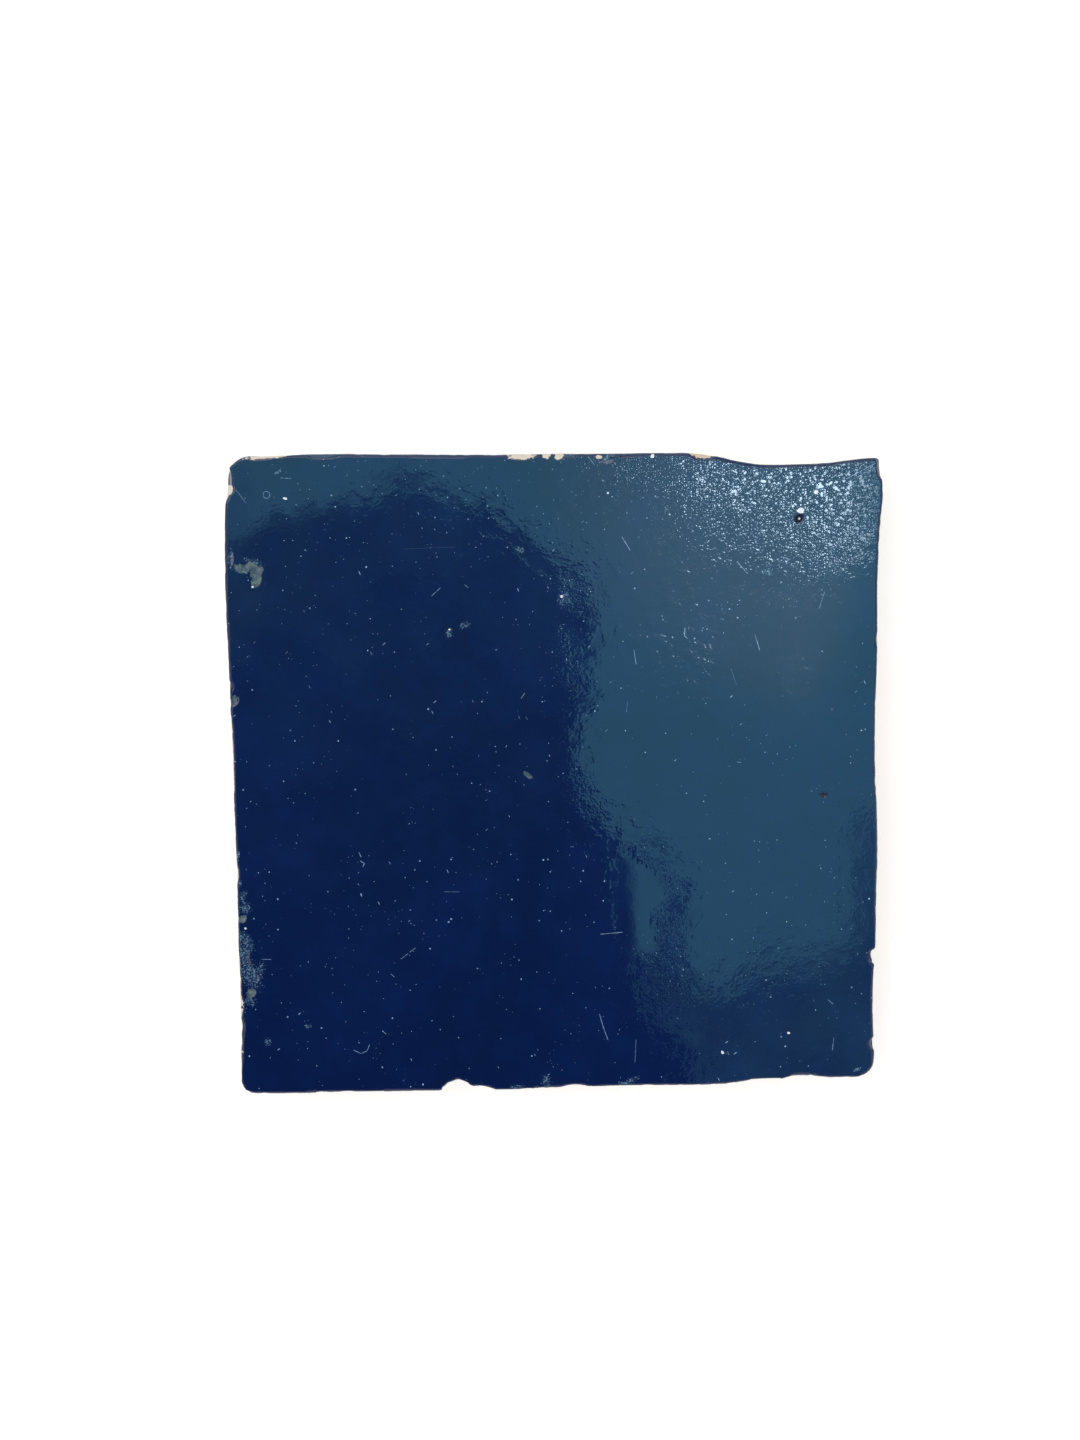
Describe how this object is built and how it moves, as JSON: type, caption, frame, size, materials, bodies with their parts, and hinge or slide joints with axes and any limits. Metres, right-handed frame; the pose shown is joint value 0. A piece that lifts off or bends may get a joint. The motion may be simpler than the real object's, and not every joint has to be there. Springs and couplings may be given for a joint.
{
  "type": "zellige tile",
  "caption": "Square hand-cut clay tile with a deep blue glazed face, chipped arrises and sides hammered in towards a plain clay back.",
  "frame": {"origin": "on the floor under the middle of the tile, in the plane of its back", "axes": "+Z out of the glazed face, +X to the right and +Y to the top edge as the picture shows the face"},
  "size_m": [0.1019, 0.1024, 0.0113],
  "materials": {
    "glazed_clay": "gloss"
  },
  "bodies": {
    "root": {"zellige_tile": "glazed_clay"}
  },
  "joints": []
}
